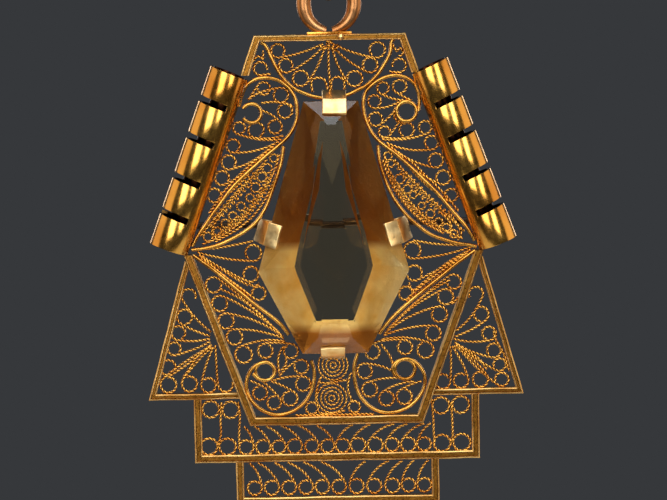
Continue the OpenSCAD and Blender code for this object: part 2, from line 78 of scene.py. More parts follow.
# Gilded brass: a warm yellow metal with random patches of orange-brown tarnish. It can add painted shade mixed with
# patina in twisted wire's hollows, painted shade on marked inside faces, and painted shade above and below a painted
# light band of heights
def giltMetal(name, look, twisted=False):
    material, tree = startMaterial(name)
    place = addNode(tree, "ShaderNodeTexCoord")
    inMm = addNode(tree, "ShaderNodeMapping", {"Vector": place.outputs["Object"], "Scale": (1000, 1000, 1000)})
    cloud = addNode(
        tree, "ShaderNodeTexNoise", {"Vector": inMm.outputs[0], "Scale": 1 / look["cloudMm"], "Detail": 3.0}
    )
    grain = addNode(
        tree,
        "ShaderNodeTexNoise",
        {"Vector": inMm.outputs[0], "Scale": 1 / look["grainMm"], "Detail": 5.0, "Roughness": 0.6},
    )
    tarnish = addNode(tree, "ShaderNodeMapRange", {"Value": cloud.outputs[0], "From Min": 0.42, "From Max": 0.68})
    base = addNode(
        tree,
        "ShaderNodeMix",
        {"Factor": tarnish.outputs[0], "A": linear(look["bright"]), "B": linear(look["dull"])},
        data_type="RGBA",
    )
    colour = base.outputs["Result"]
    if twisted:  # the profile's angle is the UV's V, and its two hollows, where the strands meet, get painted shade mixed with patina
        uv = addNode(tree, "ShaderNodeSeparateXYZ", {"Vector": place.outputs["UV"]})
        turn = addNode(tree, "ShaderNodeMath", {0: uv.outputs["Y"], 1: 4 * math.pi}, operation="MULTIPLY")
        lobe = addNode(tree, "ShaderNodeMath", {0: turn.outputs[0]}, operation="COSINE")
        hollow = addNode(
            tree,
            "ShaderNodeMapRange",
            {"Value": lobe.outputs[0], "From Min": 0.1, "From Max": -0.9, "To Max": look["hollow"]},
        )
        mixed = addNode(
            tree,
            "ShaderNodeMix",
            {"Factor": hollow.outputs[0], "A": colour, "B": linear(look["deep"])},
            data_type="RGBA",
        )
        colour = mixed.outputs["Result"]
    if "inside" in look:  # painted shade on the faces the mesh marks as inside: a tube's inner wall, a strip's trough
        paintedShadeInside = addNode(tree, "ShaderNodeAttribute", attribute_name="inside")
        mixed = addNode(
            tree,
            "ShaderNodeMix",
            {"Factor": paintedShadeInside.outputs["Fac"], "A": colour, "B": linear(look["inside"])},
            data_type="RGBA",
        )
        colour = mixed.outputs["Result"]
    if "ends" in look:  # painted shade above and below a band of heights, given from the waist; the band itself keeps the painted light colours
        height = addNode(tree, "ShaderNodeSeparateXYZ", {"Vector": inMm.outputs[0]})
        low, high = (waist.z / mm + z for z in look["paintedLightBand"])
        fromMiddle = addNode(
            tree, "ShaderNodeMath", {0: height.outputs["Z"], 1: (low + high) / 2}, operation="SUBTRACT"
        )
        away = addNode(tree, "ShaderNodeMath", {0: fromMiddle.outputs[0]}, operation="ABSOLUTE")
        paintedShadeMask = addNode(
            tree,
            "ShaderNodeMapRange",
            {"Value": away.outputs[0], "From Min": (high - low) / 2, "From Max": (high - low) / 2 + look["fade"]},
        )
        mixed = addNode(
            tree,
            "ShaderNodeMix",
            {"Factor": paintedShadeMask.outputs[0], "A": colour, "B": linear(look["ends"])},
            data_type="RGBA",
        )
        colour = mixed.outputs["Result"]
    rough = addNode(
        tree,
        "ShaderNodeMapRange",
        {
            "Value": grain.outputs[0], "From Min": 0.3, "From Max": 0.7, "To Min": look["rough"][0],
            "To Max": look["rough"][1],
        },
    )
    bump = addNode(
        tree,
        "ShaderNodeBump",
        {"Height": grain.outputs[0], "Strength": look["bump"], "Distance": look["bumpMm"] * mm},
    )
    shader = addNode(
        tree,
        "ShaderNodeBsdfPrincipled",
        {"Base Color": colour, "Metallic": 1.0, "Roughness": rough.outputs[0], "Normal": bump.outputs[0]},
    )
    addNode(tree, "ShaderNodeOutputMaterial", {"Surface": shader.outputs[0]})
    return material


giltLooks = {
    "frame": {
        # the frame's inside colour is painted shade in the troughs of the strips
        "bright": "#F0C478", "dull": "#B88440", "inside": "#A06C28", "cloudMm": 4.0, "grainMm": 0.35,
        "rough": (0.24, 0.4), "bump": 0.35, "bumpMm": 0.06,
    },
    "wire": {
        # the wire's near-black groove colour is painted shade mixed with patina where the strands meet
        "bright": "#F4B450", "dull": "#D08430", "deep": "#2E1404", "hollow": 0.95, "cloudMm": 2.0,
        "grainMm": 0.2, "rough": (0.2, 0.32), "bump": 0.2, "bumpMm": 0.03,
    },
    "bold": {
        "bright": "#DCA44A", "dull": "#A86C24", "cloudMm": 3.0, "grainMm": 0.3, "rough": (0.2, 0.34),
        "bump": 0.3, "bumpMm": 0.04,
    },
    "barrel": {
        # the barrel's near-black inside colour is painted shade within the tube
        "bright": "#E6AC50", "dull": "#D08C38", "inside": "#2A1408", "cloudMm": 6.0, "grainMm": 0.5,
        "rough": (0.16, 0.26), "bump": 0.12, "bumpMm": 0.03,
    },
    "prong": {
        # the prong's pale cream colours are painted light, standing for the light on its pads
        "bright": "#FFDC9A", "dull": "#F0BC70", "cloudMm": 1.5, "grainMm": 0.4, "rough": (0.26, 0.42),
        "bump": 0.2, "bumpMm": 0.05,
    },
    "seat": {
        # the seat's pale colours are painted light from light passing through the stone, and its browner ends are
        # painted shade
        "bright": "#FFF4CC", "dull": "#F4D890", "ends": "#AC7430", "paintedLightBand": (-7.6, 0.0), "fade": 1.0,
        "cloudMm": 2.5, "grainMm": 0.6, "rough": (0.4, 0.6), "bump": 0.5, "bumpMm": 0.12,
    },
    "ring": {
        "bright": "#CC9460", "dull": "#A86C3C", "cloudMm": 3.0, "grainMm": 0.4, "rough": (0.3, 0.42),
        "bump": 0.2, "bumpMm": 0.04,
    },
    "findings": {
        # the findings at the back are coloured dark brown
        "bright": "#7A5A2C", "dull": "#4A3418", "cloudMm": 3.0, "grainMm": 0.3, "rough": (0.4, 0.55),
        "bump": 0.2, "bumpMm": 0.03,
    },
    "pin": {
        "bright": "#4A4038", "dull": "#342A22", "cloudMm": 4.0, "grainMm": 0.25, "rough": (0.35, 0.5),
        "bump": 0.2, "bumpMm": 0.02,
    },
}
frameGilt = giltMetal("gilt brass strip, filed by hand", giltLooks["frame"])
wireGilt = giltMetal("gilt brass wire, two strands twisted", giltLooks["wire"], twisted=True)
boldGilt = giltMetal("gilt brass wire, drawn and bent", giltLooks["bold"])
barrelGilt = giltMetal("gilt brass tube, burnished", giltLooks["barrel"])
prongGilt = giltMetal("gilt brass prong, hammered over", giltLooks["prong"])
seatGilt = giltMetal("gilt brass seat, rubbed bright under the stone", giltLooks["seat"])
ringGilt = giltMetal("rose gold wire, polished", giltLooks["ring"])
findingsGilt = giltMetal("gilt brass findings, coloured dark brown", giltLooks["findings"])
pinSteel = giltMetal("steel, browned with age", giltLooks["pin"])


# Smoky citrine: quartz, clear to pale where it is thin and honey brown where light has gone a long way through it
def smokyCitrine():
    material, tree = startMaterial("smoky citrine, step cut and polished")
    place = addNode(tree, "ShaderNodeTexCoord")
    inMm = addNode(tree, "ShaderNodeMapping", {"Vector": place.outputs["Object"], "Scale": (1000, 1000, 1000)})
    wear = addNode(tree, "ShaderNodeTexNoise", {"Vector": inMm.outputs[0], "Scale": 2.0, "Detail": 6.0})
    rough = addNode(
        tree,
        "ShaderNodeMapRange",
        {"Value": wear.outputs[0], "From Min": 0.55, "From Max": 0.75, "To Min": 0.01, "To Max": 0.06},
    )
    bump = addNode(tree, "ShaderNodeBump", {"Height": wear.outputs[0], "Strength": 0.04, "Distance": 0.05 * mm})
    shader = addNode(
        tree,
        "ShaderNodeBsdfPrincipled",
        {
            "Base Color": linear("#FFF8E8"), "Roughness": rough.outputs[0], "IOR": 1.55,
            "Transmission Weight": 1.0, "Normal": bump.outputs[0],
        },
    )
    body = addNode(tree, "ShaderNodeVolumeAbsorption", {"Color": (0.92, 0.72, 0.2, 1.0), "Density": 150.0})
    addNode(tree, "ShaderNodeOutputMaterial", {"Surface": shader.outputs[0], "Volume": body.outputs[0]})
    return material


citrineStone = smokyCitrine()


def pieceName(node):
    return "".join(word.capitalize() for word in node.split("_"))


def addPiece(node, mesh, material, body="brooch", sharpAngle=38, nodes=None):
    mesh.materials.clear()
    mesh.materials.append(material)
    mesh.shade_smooth()
    mesh.set_sharp_from_angle(angle=math.radians(sharpAngle))
    piece = bpy.data.objects.new(pieceName(node), mesh)
    bpy.context.scene.collection.objects.link(piece)
    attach(piece, body)
    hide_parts(*(nodes or [node]))
    return piece


def meshFromBm(bm, name, place=toFrame):
    bmesh.ops.transform(bm, matrix=place, verts=bm.verts)
    mesh = bpy.data.meshes.new(name)
    bm.to_mesh(mesh)
    bm.free()
    return mesh


def evenPath(points, step, closed=False):
    count = len(points)
    pts = [Vector((p[0], p[1], p[2] if len(p) > 2 else 0)) for p in points]
    dense = []
    for i in range(count if closed else count - 1):
        near = [pts[(i + k) % count] if closed else pts[max(0, min(count - 1, i + k))] for k in (-1, 0, 1, 2)]
        a, b, c, d = near
        for k in range(10):
            t = k / 10
            dense.append(
                0.5 * (2 * b + (c - a) * t + (2 * a - 5 * b + 4 * c - d) * t * t + (3 * b - a - 3 * c + d) * t ** 3)
            )
    dense.append(pts[0] if closed else pts[-1])
    total = sum((q - p).length for p, q in zip(dense, dense[1:]))
    pieces = max(2, round(total / step))
    even, walked, target = [dense[0]], 0.0, total / pieces
    for p, q in zip(dense, dense[1:]):
        length = (q - p).length
        while length > 0 and walked + length >= target - 1e-9 and len(even) < pieces:
            even.append(p.lerp(q, (target - walked) / length))
            target += total / pieces
        walked += length
    if not closed:
        even.append(dense[-1])
    return even, total


def profileCurve(name, points):
    data = bpy.data.curves.new(name, "CURVE")
    data.dimensions = "2D"
    spline = data.splines.new("POLY")
    spline.points.add(len(points) - 1)
    for point, (x, y) in zip(spline.points, points):
        point.co = (x, y, 0, 1)
    spline.use_cyclic_u = True
    made = bpy.data.objects.new(name, data)
    bpy.context.scene.collection.objects.link(made)
    made.hide_render = True
    return made


def sweepWires(name, wires, profile):
    data = bpy.data.curves.new(name, "CURVE")
    data.dimensions = "3D"
    data.twist_mode = "Z_UP"
    data.bevel_mode = "OBJECT"
    data.bevel_object = profile
    data.use_fill_caps = True
    for wire in wires:
        spline = data.splines.new("POLY")
        spline.points.add(len(wire["points"]) - 1)
        for k, p in enumerate(wire["points"]):
            spline.points[k].co = (p.x, p.y, p.z, 1)
            spline.points[k].tilt = wire["tilt"][k]
            spline.points[k].radius = wire["radius"][k]
        spline.use_cyclic_u = wire["closed"]
    made = bpy.data.objects.new(name, data)
    bpy.context.scene.collection.objects.link(made)
    graph = bpy.context.evaluated_depsgraph_get()
    mesh = bpy.data.meshes.new_from_object(made.evaluated_get(graph))
    bpy.data.objects.remove(made)
    bpy.data.curves.remove(data)
    mesh.transform(toFrame)
    return mesh


twist = {"strand": 0.15, "waist": 0.075, "halfTurn": 0.44, "step": 0.065, "wander": 0.035}
ropeProfile = profileCurve(
    "ropeProfile",
    [
        (r * math.cos(a), r * math.sin(a))
        for a, r in ((math.radians(45 * k), (twist["strand"], 0.135, twist["waist"], 0.135)[k % 4]) for k in range(8))
    ],
)


# One twisted wire: height is the middle of its depth, towards the viewer
def twisted(points, height, closed=False, size=1.0, seed=0.0):
    even, total = evenPath(points, twist["step"], closed)
    halfTurns = total / (twist["halfTurn"] * size)
    if closed:
        halfTurns = 2 * max(1, round(halfTurns / 2))
    out = []
    for p in even:
        sway = noise.noise_vector(Vector((p.x * 0.6 + seed, p.y * 0.6, height + seed))) * twist["wander"]
        out.append(Vector((p.x + sway.x, p.y + sway.y, p.z + height + sway.z)))
    count = len(out)
    turn = math.pi * halfTurns / (count if closed else count - 1)
    return {"points": out, "tilt": [k * turn for k in range(count)], "radius": [size] * count, "closed": closed}


hookLook = {"bend": 0.36, "stemSteps": 8, "curlStep": 18, "tighten": 0.08}


# A stem from a focus that meets its curl as a tangent, then goes round it. Side is 1 for a turn to the left
def hook(focus, centre, radius, side, swing=18.0, sweep=335.0):
    f, c = Vector(focus), Vector(centre)
    away = f - c
    reach = max(away.length, radius * 1.001)
    touch = math.atan2(away.y, away.x) + side * (math.acos(radius / reach) + math.radians(swing))
    meet = c + radius * Vector((math.cos(touch), math.sin(touch)))
    heading = side * Vector((-math.sin(touch), math.cos(touch)))
    chord = meet - f
    lean = math.radians(-side * swing)
    start = Vector(
        (chord.x * math.cos(lean) - chord.y * math.sin(lean), chord.x * math.sin(lean) + chord.y * math.cos(lean))
    )
    p1, p2 = f + start * hookLook["bend"], meet - heading * chord.length * hookLook["bend"]
    path = []
    for k in range(hookLook["stemSteps"]):
        t = k / hookLook["stemSteps"]
        path.append((1 - t) ** 3 * f + 3 * t * (1 - t) ** 2 * p1 + 3 * t * t * (1 - t) * p2 + t ** 3 * meet)
    for k in range(int(sweep // hookLook["curlStep"]) + 1):
        turned = hookLook["curlStep"] * k
        a = touch + side * math.radians(turned)
        path.append(c + radius * (1 - hookLook["tighten"] * turned / 360) * Vector((math.cos(a), math.sin(a))))
    return path


def ringPath(centre, radius, start=0.0, sweep=360.0):
    count = max(6, int(abs(sweep) // 20))
    angles = [math.radians(start + sweep * k / count) for k in range(count + (0 if abs(sweep) == 360 else 1))]
    return [(centre[0] + radius * math.cos(a), centre[1] + radius * math.sin(a)) for a in angles]


# A wave that swings across the line through the points
def wavePath(points, swing, pitch):
    even, total = evenPath(points, 0.1)
    path = []
    for k, p in enumerate(even):
        ahead = even[min(k + 1, len(even) - 1)] - even[max(k - 1, 0)]
        ahead.normalize()
        fade = min(1.0, 4 * min(k, len(even) - 1 - k) / len(even) + 0.25)
        side = swing * fade * math.sin(2 * math.pi * 0.1 * k / pitch)
        path.append((p.x - ahead.y * side, p.y + ahead.x * side))
    return path


fineHeight = 0.3
wingHeight = 0.06


def filigree(node, look):
    height = look.get("height", fineHeight)
    wires = []
    for k, settings in enumerate(look.get("hooks", [])):
        wires.append(twisted(hook(*settings), height + 0.04 * ((k % 3) - 1), seed=k * 1.7))
    for k, points in enumerate(look.get("lines", [])):
        wires.append(twisted(points, height + 0.05 * ((k % 2) - 0.5), seed=20 + k * 1.3))
    for k, (centre, radius) in enumerate(look.get("rings", [])):
        wires.append(
            twisted(ringPath(centre, radius), height, closed=True, size=look.get("ringSize", 1.0), seed=40 + k)
        )
    for k, (points, size) in enumerate(look.get("knots", [])):
        wires.append(twisted(points, height + 0.1, size=size, seed=80 + k))
    for k, (points, swing, pitch) in enumerate(look.get("waves", [])):
        wires.append(twisted(wavePath(points, swing, pitch), height - 0.05, size=0.8, seed=60 + k))
    mesh = sweepWires(node, wires, ropeProfile)
    print("filigree", node, len(mesh.polygons))
    return addPiece(node, mesh, wireGilt, sharpAngle=80)


fanLook = {
    "hooks": [
        ((0.3, 22.1), (5.05, 21.35), 0.85, 1, 10),
        ((0.3, 21.9), (4.25, 19.75), 0.8, 1, 12),
        ((0.2, 21.8), (2.6, 18.35), 0.85, 1, 10),
        ((-0.7, 22.1), (-5.5, 21.45), 0.75, -1, 8),
        ((-0.6, 21.9), (-4.7, 19.85), 0.75, -1, 12),
        ((-0.5, 21.8), (-3.15, 18.5), 0.85, -1, 12),
    ],
    "lines": [
        [(-0.1, 22.2), (-0.15, 20), (-0.05, 18), (-0.05, 16.6)],
        [(0.1, 17.2), (0.15, 18.2), (0.8, 18.55), (1.4, 18.2), (1.5, 17.2)],
        [(-1.9, 17), (-2.0, 18.1), (-1.4, 18.5), (-0.6, 18.25), (-0.3, 17.2)],
    ],
    "knots": [
        ([(-1.1, 22.0), (-0.6, 21.5), (-0.1, 21.9), (0.5, 21.4), (1.0, 22.0)], 1.3),
        ([(-0.4, 22.3), (0.3, 22.3)], 1.7),
    ],
}
filigree("fan_filigree", fanLook)

filigree(
    "corner_filigree_right",
    {
        "hooks": [((6.3, 19.0), (7.35, 19.65), 0.75, 1, 0, 290)],
        "lines": [[(6.7, 21.9), (7.1, 21.2), (7.5, 21.5), (7.8, 20.9), (7.3, 20.6)]],
    },
)
filigree(
    "corner_filigree_left",
    {
        "hooks": [((-6.3, 19.0), (-7.4, 19.6), 0.72, -1, 0, 290)],
        "lines": [[(-8.3, 20.2), (-7.9, 20.7), (-7.5, 20.9), (-7.1, 20.6), (-7.1, 21.5)]],
    },
)

filigree(
    "scroll_filigree_right",
    {
        "hooks": [
            ((8.0, 15.9), (5.6, 17.25), 0.65, -1, 14),
            ((8.6, 15.9), (7.4, 17.4), 0.75, -1, 5),
            ((7.4, 15.8), (4.65, 15.85), 0.7, -1, 16),
            ((7.1, 15.3), (4.75, 13.95), 0.75, -1, 12),
            ((7.3, 13.9), (5.7, 12.55), 0.65, -1, 8),
        ],
        "lines": [[(6.9, 15.3), (6.7, 14.3), (7.2, 13.6), (8.0, 13.4)]],
    },
)
filigree(
    "scroll_filigree_left",
    {
        "hooks": [
            ((-8.8, 16.3), (-5.3, 16.7), 0.8, -1, 16),
            ((-8.6, 16.4), (-7.1, 17.45), 0.7, -1, 8),
            ((-7.4, 15.9), (-4.9, 15.0), 0.78, -1, 14),
            ((-7.3, 15.1), (-6.0, 13.35), 0.75, -1, 14),
        ],
        "lines": [[(-4.0, 15.4), (-4.4, 15.7), (-5.2, 15.9)]],
    },
)

filigree(
    "frond_filigree_right",
    {
        "hooks": [
            ((5.3, 12.1), (8.0, 12.75), 0.8, 1, 12),
            ((5.4, 11.8), (10.0, 13.0), 0.7, 1, 14),
            ((5.9, 11.4), (10.65, 11.35), 0.75, 1, 16),
            ((6.3, 11.0), (11.1, 9.45), 0.78, 1, 16),
            ((6.8, 10.6), (11.85, 7.6), 0.78, 1, 14),
            ((7.2, 10.3), (12.7, 5.7), 0.7, 1, 12),
        ],
        "lines": [[(6.0, 11.2), (8.5, 9.3), (10.2, 7.6), (11.8, 6.0), (13.4, 4.0)]],
    },
)
filigree(
    "frond_filigree_left",
    {
        "hooks": [
            ((-5.1, 12.4), (-8.0, 13.05), 0.85, -1, 12),
            ((-5.3, 12.0), (-9.8, 13.3), 0.65, -1, 14),
            ((-5.6, 11.8), (-10.5, 11.4), 0.72, -1, 16),
            ((-6.3, 11.3), (-11.0, 9.65), 0.78, -1, 16),
            ((-7.0, 10.8), (-11.75, 8.0), 0.78, -1, 14),
            ((-7.6, 10.2), (-12.6, 6.15), 0.75, -1, 12),
        ],
        "lines": [[(-6.2, 11.3), (-8.2, 9.8), (-9.9, 8.3), (-11.6, 6.5), (-13.2, 4.2)]],
    },
)

filigree(
    "leaf_filigree_right",
    {
        "rings": [
            ((6.0, 10.0), 0.42), ((6.3, 9.2), 0.38), ((7.2, 7.5), 0.52), ((8.0, 6.4), 0.46),
            ((8.6, 5.8), 0.38), ((9.5, 4.6), 0.36),
        ]
        + [((10.4, 3.7), 0.46), ((11.3, 2.8), 0.42), ((12.1, 2.2), 0.42), ((12.9, 1.5), 0.42)],
        "ringSize": 0.85,
        "lines": [
            [(5.6, 10.4), (5.9, 8.9), (6.9, 7.1), (8.3, 5.0), (10.0, 3.2), (11.8, 2.0), (13.8, 1.0)],
            [(5.4, 9.6), (5.9, 8.0), (6.9, 6.1), (8.1, 4.4), (9.7, 2.8), (11.8, 1.6)],
            [(6.7, 9.6), (8.6, 7.3), (10.6, 5.2), (12.4, 3.3), (14.0, 1.8)],
            [(11.5, 3.8), (12.4, 2.9), (12.7, 2.0), (12.2, 1.6)],
            [(12.3, 4.0), (13.2, 2.7), (13.7, 1.5), (13.3, 0.9)],
        ],
        "waves": [
            ([(6.9, 9.0), (8.6, 7.0), (10.6, 4.9), (12.6, 3.3)], 0.45, 0.58),
            ([(5.9, 8.3), (7.2, 6.0), (8.8, 4.1), (11.6, 1.9)], 0.42, 0.45),
        ],
    },
)
filigree(
    "leaf_filigree_left",
    {
        "rings": [
            ((-6.2, 10.0), 0.42), ((-6.9, 8.9), 0.5), ((-7.5, 8.0), 0.5), ((-8.2, 6.9), 0.5),
            ((-8.8, 5.8), 0.42), ((-9.8, 4.9), 0.45),
        ]
        + [((-10.7, 3.9), 0.42), ((-11.5, 3.1), 0.45), ((-12.4, 2.3), 0.42), ((-13.4, 1.7), 0.48)],
        "ringSize": 0.85,
        "lines": [
            [(-5.6, 10.4), (-6.2, 8.6), (-7.2, 6.8), (-8.6, 4.8), (-10.2, 3.0), (-12.0, 1.7), (-14.0, 0.9)],
            [(-5.6, 9.4), (-6.2, 7.6), (-7.2, 5.6), (-8.5, 3.9), (-10.2, 2.5), (-12.6, 1.2)],
            [(-6.9, 9.9), (-8.8, 7.8), (-10.6, 6.0), (-12.3, 4.0), (-14.2, 1.8)],
            [(-12.0, 4.0), (-12.7, 3.0), (-13.0, 2.2), (-12.6, 1.6)],
        ],
        "waves": [
            ([(-7.6, 9.0), (-9.4, 7.0), (-11.2, 5.0), (-13.2, 2.8)], 0.42, 0.58),
            ([(-6.3, 8.5), (-7.6, 6.2), (-9.4, 4.0), (-12.6, 1.6)], 0.4, 0.45),
        ],
    },
)

filigree(
    "star_filigree_right",
    {
        "hooks": [
            ((14.8, 0.1), (8.45, -0.15), 0.9, -1, 8),
            ((14.6, -0.1), (8.6, -2.6), 0.85, -1, 6),
            ((14.4, -0.3), (7.65, -4.75), 0.75, -1, 3),
        ],
        "lines": [
            [(14.6, -0.2), (12.6, -1.3), (11, -2.4), (9.6, -3.6), (8.4, -4.6)],
            [(14.4, -0.5), (12.4, -1.8), (10.8, -2.9), (9, -4.3), (7.6, -5.5)],
            [(8.0, -3.6), (8.2, -4.2), (8.6, -4.6)],
            [(14.2, 0.3), (11.8, 0.4), (9.6, 0.7), (8.6, 0.9)],
        ],
    },
)
filigree(
    "star_filigree_left",
    {
        "hooks": [
            ((-14.6, 0.1), (-8.6, -0.1), 0.88, 1, 8),
            ((-14.4, -0.1), (-8.9, -2.4), 0.82, 1, 6),
            ((-14.2, -0.4), (-8.1, -4.45), 0.75, 1, 3),
        ],
        "lines": [
            [(-14.4, -0.3), (-12.2, -1.7), (-10.6, -2.8), (-9.2, -3.6)],
            [(-14.2, -0.6), (-12.4, -2.0), (-10.6, -3.4), (-9.0, -4.7)],
            [(-9.2, -3.3), (-8.6, -3.7), (-8.0, -3.4)],
            [(-13.6, 0.4), (-12, 0.55), (-10, 0.9), (-8.6, 1.15)],
        ],
    },
)

filigree(
    "side_filigree_right",
    {
        "hooks": [
            ((5.6, -8.7), (12.8, -3.65), 0.8, -1, 6),
            ((5.5, -8.9), (11.9, -5.25), 0.85, -1, 12),
            ((5.3, -9.1), (11.2, -7.1), 0.85, -1, 14),
            ((5.2, -9.3), (10.5, -9.15), 0.82, -1, 12),
            ((5.0, -9.7), (9.65, -10.95), 0.88, -1, 16),
            ((4.9, -9.9), (7.45, -10.6), 0.78, -1, 8),
            ((5.3, -9.7), (4.0, -11.0), 0.8, 1, 0),
        ],
        "lines": [
            [(12.4, -3.4), (10.2, -4.7), (8, -6.4), (6.2, -8.2)],
            [(4.9, -10.2), (5.6, -11.1), (6.0, -11.9), (6.1, -12.4)],
            [(12.5, -6.05), (12.9, -5.75), (13.3, -5.3)],
        ],
    },
)
filigree(
    "side_filigree_left",
    {
        "hooks": [
            ((-6.0, -8.8), (-12.9, -3.5), 0.85, 1, 4),
            ((-5.8, -9.0), (-12.3, -5.5), 0.85, 1, 10),
            ((-5.6, -9.2), (-11.65, -7.4), 0.85, 1, 14),
            ((-5.5, -9.4), (-10.8, -9.15), 0.85, 1, 10),
            ((-5.4, -9.7), (-9.85, -11.05), 0.92, 1, 16),
            ((-5.3, -9.9), (-7.5, -10.7), 0.8, 1, 8),
            ((-5.4, -9.9), (-4.8, -10.8), 0.78, -1, 0),
        ],
        "lines": [
            [(-12.2, -3.9), (-10, -5.1), (-8, -6.8), (-6.2, -8.6)],
            [(-5.5, -10.2), (-6.0, -11.0), (-6.2, -12.0), (-6.1, -13.2)],
            [(-5.9, -12.9), (-5.4, -12.3), (-5.3, -11.4)],
        ],
    },
)

filigree(
    "volute_filigree_right",
    {
        "hooks": [
            ((6.2, -13.2), (3.1, -13.1), 0.82, 1, 14),
            ((6.6, -13.9), (3.6, -15.1), 0.82, 1, 10),
            ((8.4, -14.3), (5.4, -16.1), 0.82, 1, 16),
            ((9.2, -14.3), (7.3, -15.95), 0.85, 1, 10),
        ],
    },
)
filigree(
    "volute_filigree_left",
    {
        "hooks": [
            ((-6.1, -13.5), (-3.7, -12.5), 0.78, -1, 12),
            ((-6.8, -13.95), (-3.55, -14.35), 0.8, -1, 12),
            ((-7.0, -14.0), (-5.0, -15.9), 0.82, -1, 10),
            ((-7.9, -14.0), (-6.7, -16.35), 0.75, -1, 6),
            ((-9.2, -13.9), (-8.2, -15.25), 0.78, -1, 6),
        ],
    },
)

rosetteLook = {"turns": (0.32, 0.75, 1.16, 1.58)}
for node, centre in (("rosette_upper", (-0.3, -12.4)), ("rosette_lower", (-0.5, -15.95))):
    filigree(node, {"rings": [(centre, r) for r in rosetteLook["turns"]], "ringSize": 0.85})
filigree(
    "base_curls",
    {
        "rings": [((1.9, -16.95), 0.62), ((-2.65, -17.0), 0.64)],
        "lines": [
            [(-4.4, -17.75), (-2, -17.75), (0, -17.75), (4.0, -17.75)],
            [(1.6, -13.2), (1.3, -14.2), (1.3, -15.2), (1.7, -16.3)],
            [(-1.6, -13.6), (-2.0, -14.6), (-2.2, -15.6), (-2.2, -16.3)],
            [(-1.9, -14.15), (-1.1, -14.3), (0.2, -14.15), (1.2, -14.0)],
            [(0.9, -17.3), (0.2, -17.5), (-1.4, -17.6), (-2.0, -17.4)],
        ],
    },
)

filigree(
    "wing_filigree_right",
    {
        "height": wingHeight,
        "hooks": [
            ((12.9, -9.0), (15.15, -5.0), 0.78, 1, 16, 250),
            ((12.8, -9.6), (15.7, -7.2), 0.82, 1, 10),
            ((12.7, -9.8), (16.5, -9.3), 0.75, 1, 14),
            ((12.8, -10.2), (17.0, -11.15), 0.78, 1, 12),
            ((12.9, -10.3), (17.6, -12.7), 0.7, 1, 8),
            ((12.9, -10.5), (17.8, -14.3), 0.75, 1, 6),
            ((12.7, -10.6), (15.5, -14.25), 0.85, -1, 10),
            ((12.5, -10.6), (13.4, -14.35), 0.82, -1, 10),
            ((12.3, -10.6), (11.45, -14.4), 0.82, -1, 6),
        ],
        "lines": [
            [(13.0, -10.5), (14.4, -11.3), (15.5, -12.2), (16.2, -13.2)],
            [(17.0, -9.0), (17.2, -10.0), (18.1, -11.6), (18.6, -13.4)],
        ],
    },
)
filigree(
    "wing_filigree_left",
    {
        "height": wingHeight,
        "hooks": [
            ((-13.3, -8.6), (-15.6, -4.65), 0.78, -1, 12, 250),
            ((-13.4, -9.0), (-16.1, -6.9), 0.84, -1, 8),
            ((-13.4, -9.3), (-16.8, -8.6), 0.76, -1, 12),
            ((-13.4, -9.6), (-17.3, -10.3), 0.72, -1, 8),
            ((-13.3, -9.9), (-18.0, -12.35), 0.85, -1, 6),
            ((-13.3, -10.1), (-18.0, -14.2), 0.88, 1, 6),
            ((-13.2, -10.2), (-15.75, -14.15), 0.85, 1, 6),
            ((-13.1, -10.2), (-13.7, -14.35), 0.82, 1, 6),
            ((-12.9, -10.0), (-11.85, -14.3), 0.8, 1, 2, 200),
        ],
        "lines": [[(-13.4, -10.1), (-14.6, -11.0), (-15.6, -12.3), (-16.4, -13.5)]],
    },
)

combRow = {"z": -21.15, "top": -18.9}
upperRight = [
    (0.6, 0.78, 1.7), (2.25, 0.82, 3.6), (4.1, 0.82, 6.2), (5.9, 0.76, 7.6), (7.65, 0.8, 9.4), (9.35, 0.76, 10.1)
]
upperLeft = [
    (-9.8, 0.8, -10.0), (-8.0, 0.8, -8.9), (-6.3, 0.74, -7.6), (-4.6, 0.82, -6.0), (-2.75, 0.76, -4.2),
    (-1.05, 0.74, -2.2),
]
filigree(
    "tier_filigree_upper",
    {
        "height": wingHeight,
        "hooks": [((top, combRow["top"]), (x, combRow["z"]), r, 1, 22) for x, r, top in upperRight]
        + [((top, combRow["top"]), (x, combRow["z"]), r, -1, 22) for x, r, top in upperLeft],
        "rings": [((11.3, -21.1), 0.9), ((13.4, -21.05), 0.92), ((-11.8, -21.05), 0.9), ((-13.8, -21.0), 0.9)]
        + [((11.2, -17.0), 0.88), ((13.35, -16.95), 0.9), ((-11.4, -17.05), 0.88), ((-13.55, -16.95), 0.9)],
        "lines": [
            [(10.25, -16.3), (10.35, -18), (10.4, -20), (10.5, -21)],
            [(12.3, -16.6), (12.4, -18), (12.45, -20), (12.3, -21)],
            [(-10.6, -16.2), (-10.4, -17.4), (-10.5, -19), (-10.55, -20.8)],
            [(-12.4, -16.2), (-12.5, -18), (-12.5, -19.6), (-12.8, -20.8)],
        ],
    },
)
lowerRow = {"z": -25.6, "top": -22.9}
lowerRight = [(2.0, 0.8, 3.0), (3.9, 0.8, 5.5), (5.85, 0.8, 7.0), (7.6, 0.76, 8.2), (9.3, 0.76, 9.8)]
lowerLeft = [
    (-9.0, 0.78, -9.5), (-7.15, 0.8, -8.6), (-5.3, 0.78, -6.8), (-3.45, 0.78, -5.4), (-1.7, 0.78, -3.7),
    (0.1, 0.78, -1.8),
]
filigree(
    "tier_filigree_lower",
    {
        "height": wingHeight,
        "hooks": [((top, lowerRow["top"]), (x, lowerRow["z"]), r, 1, 22) for x, r, top in lowerRight]
        + [((top, lowerRow["top"]), (x, lowerRow["z"]), r, -1, 22) for x, r, top in lowerLeft],
    },
)

